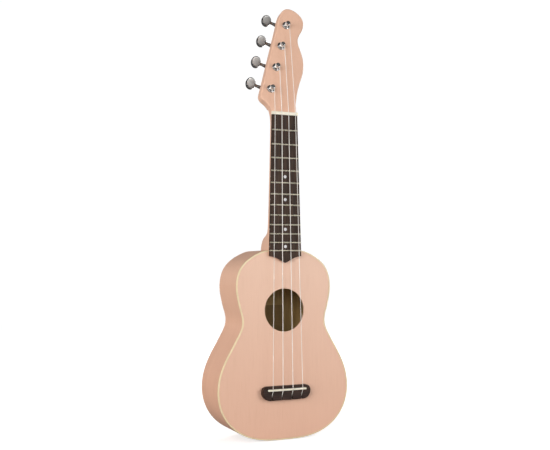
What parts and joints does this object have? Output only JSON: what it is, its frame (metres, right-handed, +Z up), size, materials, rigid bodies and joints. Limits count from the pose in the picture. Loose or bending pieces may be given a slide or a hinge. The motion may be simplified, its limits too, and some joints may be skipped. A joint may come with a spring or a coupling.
{
  "type": "ukulele",
  "caption": "Small figure-of-eight string instrument with a shell-pink body and neck, dark fingerboard and bridge, and geared tuners along one side of a swept headstock.",
  "frame": {"origin": "centre of the neck at the nut's fingerboard edge, in the plane of the soundboard's front face, where a wall hanger's yoke takes the headstock", "axes": "+Z up along the neck towards the headstock, -Y out of the soundboard towards the player's audience, +X to the viewer's right seen from the front"},
  "size_m": [0.178, 0.0733, 0.5591],
  "materials": {
    "pink_top": "satin shell-pink lacquer",
    "pink_shell": "satin shell-pink lacquer",
    "pink_neck": "satin shell-pink lacquer",
    "cream_binding": "satin cream",
    "dark_wood": "oiled dark walnut",
    "dark_bridge": "oiled dark walnut",
    "nickel": "polished nickel alloy",
    "ivory": "satin ivory",
    "pearl": "pearl",
    "plain_paper": "plain matt paper",
    "chrome_trim": "polished chrome",
    "chrome_plate": "polished chrome",
    "brass_gear": "cut brass",
    "satin_button": "satin faces in a polished rim",
    "bare_wood": "bare sanded wood",
    "clear_string": "clear nylon"
  },
  "bodies": {
    "instrument": {"soundboard": "pink_top", "back": "pink_shell", "side_left": "pink_shell", "side_right": "pink_shell", "binding_front": "cream_binding", "neck_block": "bare_wood", "tail_block": "bare_wood", "lining_front": "bare_wood", "lining_back": "bare_wood", "soundboard_brace_upper": "bare_wood", "soundboard_brace_lower": "bare_wood", "back_brace_upper": "bare_wood", "back_brace_lower": "bare_wood", "bridge_plate": "bare_wood", "fan_braces": "bare_wood", "label": "plain_paper", "neck_dowels": "bare_wood", "bridge": "dark_bridge", "saddle": "ivory", "neck": "pink_neck", "fingerboard": "dark_wood", "frets": "nickel", "nut": "ivory", "position_markers": "pearl", "side_markers": "pearl", "string_g": "clear_string", "string_c": "clear_string", "string_e": "clear_string", "string_a": "clear_string", "post_bushings": "chrome_trim", "tuner_screws": "chrome_trim", "tuner_1_plate": "chrome_plate", "tuner_2_plate": "chrome_plate", "tuner_3_plate": "chrome_plate", "tuner_4_plate": "chrome_plate"},
    "button_1": {"tuner_1_worm_shaft": "chrome_trim", "tuner_1_button": "satin_button"},
    "post_1": {"tuner_1_post": "chrome_trim", "tuner_1_gear": "brass_gear", "tuner_1_gear_screw": "chrome_trim", "string_winding_1": "clear_string"},
    "button_2": {"tuner_2_worm_shaft": "chrome_trim", "tuner_2_button": "satin_button"},
    "post_2": {"tuner_2_post": "chrome_trim", "tuner_2_gear": "brass_gear", "tuner_2_gear_screw": "chrome_trim", "string_winding_2": "clear_string"},
    "button_3": {"tuner_3_worm_shaft": "chrome_trim", "tuner_3_button": "satin_button"},
    "post_3": {"tuner_3_post": "chrome_trim", "tuner_3_gear": "brass_gear", "tuner_3_gear_screw": "chrome_trim", "string_winding_3": "clear_string"},
    "button_4": {"tuner_4_worm_shaft": "chrome_trim", "tuner_4_button": "satin_button"},
    "post_4": {"tuner_4_post": "chrome_trim", "tuner_4_gear": "brass_gear", "tuner_4_gear_screw": "chrome_trim", "string_winding_4": "clear_string"}
  },
  "joints": [
    {"name": "button_1_spin", "type": "hinge", "parent": "instrument", "child": "button_1", "pos_m": [-0.01276, 0.02454, 0.03676], "axis": [-0.95, 0.0649, 0.3055], "continuous": true},
    {"name": "post_1_spin", "type": "hinge", "parent": "instrument", "child": "post_1", "pos_m": [-0.0147, 0.00668, 0.03453], "axis": [0, -0.9781, 0.2079], "continuous": true},
    {"name": "button_2_spin", "type": "hinge", "parent": "instrument", "child": "button_2", "pos_m": [-0.00259, 0.03097, 0.06701], "axis": [-0.95, 0.0649, 0.3055], "continuous": true},
    {"name": "post_2_spin", "type": "hinge", "parent": "instrument", "child": "post_2", "pos_m": [-0.00453, 0.01311, 0.06478], "axis": [0, -0.9781, 0.2079], "continuous": true},
    {"name": "button_3_spin", "type": "hinge", "parent": "instrument", "child": "button_3", "pos_m": [0.00758, 0.0374, 0.09726], "axis": [-0.95, 0.0649, 0.3055], "continuous": true},
    {"name": "post_3_spin", "type": "hinge", "parent": "instrument", "child": "post_3", "pos_m": [0.00564, 0.01954, 0.09504], "axis": [0, -0.9781, 0.2079], "continuous": true},
    {"name": "button_4_spin", "type": "hinge", "parent": "instrument", "child": "button_4", "pos_m": [0.01775, 0.04383, 0.12752], "axis": [-0.95, 0.0649, 0.3055], "continuous": true},
    {"name": "post_4_spin", "type": "hinge", "parent": "instrument", "child": "post_4", "pos_m": [0.01581, 0.02598, 0.12529], "axis": [0, -0.9781, 0.2079], "continuous": true}
  ],
  "couplings": [
    {"joint": "post_1_spin", "follows": "button_1_spin", "ratio": -0.071429},
    {"joint": "post_2_spin", "follows": "button_2_spin", "ratio": -0.071429},
    {"joint": "post_3_spin", "follows": "button_3_spin", "ratio": -0.071429},
    {"joint": "post_4_spin", "follows": "button_4_spin", "ratio": -0.071429}
  ]
}
